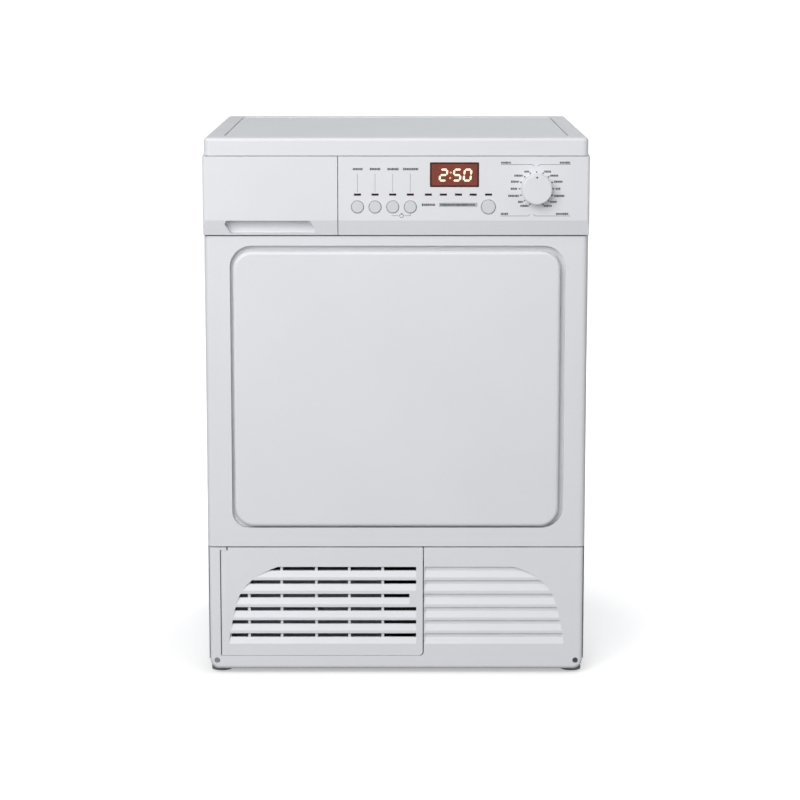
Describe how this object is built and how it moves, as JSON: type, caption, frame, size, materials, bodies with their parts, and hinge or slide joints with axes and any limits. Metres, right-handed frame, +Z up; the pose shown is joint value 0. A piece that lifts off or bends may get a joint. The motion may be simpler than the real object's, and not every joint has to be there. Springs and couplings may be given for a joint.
{
  "type": "clothes dryer",
  "caption": "Free-standing front-loading condenser tumble dryer with a large rounded door, a tank drawer, a control fascia and a slotted plinth flap.",
  "frame": {"origin": "on the floor, below the middle of the machine's overall width and depth", "axes": "+Z up, front and door towards -Y, +X to the right when facing the door"},
  "size_m": [0.595, 0.61, 0.85],
  "materials": {
    "enamel_white": "satin",
    "plastic_white": "satin",
    "worktop_board": "satin",
    "tank_plastic": "satin",
    "display_amber": "gloss",
    "led_smoke": "gloss",
    "circuit_board": "satin",
    "galvanised": "satin",
    "stainless": "brushed",
    "base_grey": "matte",
    "black_plastic": "matte",
    "fin_aluminium": "satin",
    "rubber_dark": "matte",
    "rubber_grey": "matte",
    "felt": "matte",
    "element_steel": "satin",
    "motor_steel": "satin",
    "lever_plastic": "satin"
  },
  "bodies": {
    "cabinet": {"base_tray": "base_grey", "side_panel_left": "enamel_white", "side_panel_right": "enamel_white", "rear_panel": "galvanised", "rear_duct_cover": "galvanised", "front_panel": "enamel_white", "worktop_frame": "plastic_white", "worktop_panel": "worktop_board", "control_fascia": "plastic_white", "display_window": "display_amber", "led_lenses": "led_smoke", "control_board": "circuit_board", "plinth": "plastic_white", "front_bulkhead": "galvanised", "door_funnel": "plastic_white", "drum_front_seal": "felt", "drum_bearing": "black_plastic", "heater": "element_steel", "motor_body": "motor_steel", "idler_arm": "galvanised", "drive_belt": "rubber_dark", "condenser_body": "lever_plastic", "condenser_fins": "fin_aluminium", "process_fan_housing": "black_plastic", "cooling_fan_housing": "black_plastic", "pump_body": "black_plastic", "condensate_hose": "rubber_grey", "tank_cradle": "base_grey", "door_hinge": "galvanised", "door_catch": "black_plastic", "door_seal": "rubber_grey", "cable_gland": "black_plastic"},
    "drum": {"drum_shell": "stainless", "drum_lifters": "base_grey", "drum_rear_wall": "stainless"},
    "rotor": {"motor_shaft": "stainless", "process_fan": "black_plastic", "cooling_fan": "black_plastic"},
    "idler": {"idler_pulley": "black_plastic"},
    "tank": {"tank_front": "plastic_white", "tank_body": "tank_plastic", "tank_lid": "tank_plastic"},
    "door": {"door_outer": "plastic_white", "door_inner": "plastic_white", "door_hook": "galvanised"},
    "flap": {"condenser_flap": "plastic_white"},
    "lever_left": {"condenser_lever_left": "lever_plastic"},
    "lever_right": {"condenser_lever_right": "lever_plastic"},
    "dial": {"programme_dial": "plastic_white"},
    "option_1": {"option_button_1": "plastic_white"},
    "option_2": {"option_button_2": "plastic_white"},
    "option_3": {"option_button_3": "plastic_white"},
    "option_4": {"option_button_4": "plastic_white"},
    "start": {"start_button": "plastic_white"},
    "filter": {"lint_filter_frame": "lever_plastic"},
    "impeller": {"pump_impeller": "base_grey"},
    "foot_fl": {"foot_front_left": "rubber_grey"},
    "foot_fr": {"foot_front_right": "rubber_grey"},
    "foot_rl": {"foot_rear_left": "rubber_grey"},
    "foot_rr": {"foot_rear_right": "rubber_grey"}
  },
  "joints": [
    {"name": "door_hinge_turn", "type": "hinge", "parent": "cabinet", "child": "door", "pos_m": [-0.2472, -0.2742, 0.4575], "axis": [0, 0, -1], "range_deg": [0, 105]},
    {"name": "tank_slide", "type": "slide", "parent": "cabinet", "child": "tank", "axis": [0, -1, 0], "range_m": [0, 0.4]},
    {"name": "drum_spin", "type": "hinge", "parent": "cabinet", "child": "drum", "pos_m": [0, 0, 0.452], "axis": [0, 1, 0], "continuous": true},
    {"name": "rotor_spin", "type": "hinge", "parent": "cabinet", "child": "rotor", "pos_m": [0.155, 0, 0.112], "axis": [0, 1, 0], "continuous": true},
    {"name": "idler_spin", "type": "hinge", "parent": "cabinet", "child": "idler", "pos_m": [0.108, 0.085, 0.126], "axis": [0, 1, 0], "continuous": true},
    {"name": "dial_turn", "type": "hinge", "parent": "cabinet", "child": "dial", "pos_m": [0.2156, -0.29, 0.7718], "axis": [0, -1, 0], "continuous": true},
    {"name": "option_press_1", "type": "slide", "parent": "cabinet", "child": "option_1", "axis": [0, 1, 0], "range_m": [0, 0.0015], "stiffness_N_per_m": 500},
    {"name": "option_press_2", "type": "slide", "parent": "cabinet", "child": "option_2", "axis": [0, 1, 0], "range_m": [0, 0.0015], "stiffness_N_per_m": 500},
    {"name": "option_press_3", "type": "slide", "parent": "cabinet", "child": "option_3", "axis": [0, 1, 0], "range_m": [0, 0.0015], "stiffness_N_per_m": 500},
    {"name": "option_press_4", "type": "slide", "parent": "cabinet", "child": "option_4", "axis": [0, 1, 0], "range_m": [0, 0.0015], "stiffness_N_per_m": 500},
    {"name": "start_press", "type": "slide", "parent": "cabinet", "child": "start", "axis": [0, 1, 0], "range_m": [0, 0.0015], "stiffness_N_per_m": 500},
    {"name": "flap_turn", "type": "hinge", "parent": "cabinet", "child": "flap", "pos_m": [-0.2725, -0.2705, 0.118], "axis": [0, 0, -1], "range_deg": [0, 95]},
    {"name": "lever_left_turn", "type": "hinge", "parent": "cabinet", "child": "lever_left", "pos_m": [-0.225, -0.235, 0.13], "axis": [0, 1, 0], "range_deg": [0, 90]},
    {"name": "lever_right_turn", "type": "hinge", "parent": "cabinet", "child": "lever_right", "pos_m": [-0.067, -0.235, 0.13], "axis": [0, -1, 0], "range_deg": [0, 90]},
    {"name": "filter_lift", "type": "slide", "parent": "cabinet", "child": "filter", "axis": [0, 0, 1], "range_m": [0, 0.18]},
    {"name": "impeller_spin", "type": "hinge", "parent": "cabinet", "child": "impeller", "pos_m": [0.045, 0.215, 0.04], "axis": [0, 0, 1], "continuous": true},
    {"name": "foot_fl_screw", "type": "slide", "parent": "cabinet", "child": "foot_fl", "axis": [0, 0, -1], "range_m": [0, 0.012]},
    {"name": "foot_fr_screw", "type": "slide", "parent": "cabinet", "child": "foot_fr", "axis": [0, 0, -1], "range_m": [0, 0.012]},
    {"name": "foot_rl_screw", "type": "slide", "parent": "cabinet", "child": "foot_rl", "axis": [0, 0, -1], "range_m": [0, 0.012]},
    {"name": "foot_rr_screw", "type": "slide", "parent": "cabinet", "child": "foot_rr", "axis": [0, 0, -1], "range_m": [0, 0.012]}
  ],
  "couplings": [
    {"joint": "rotor_spin", "follows": "drum_spin", "ratio": 29.111},
    {"joint": "idler_spin", "follows": "drum_spin", "ratio": 16.375}
  ]
}
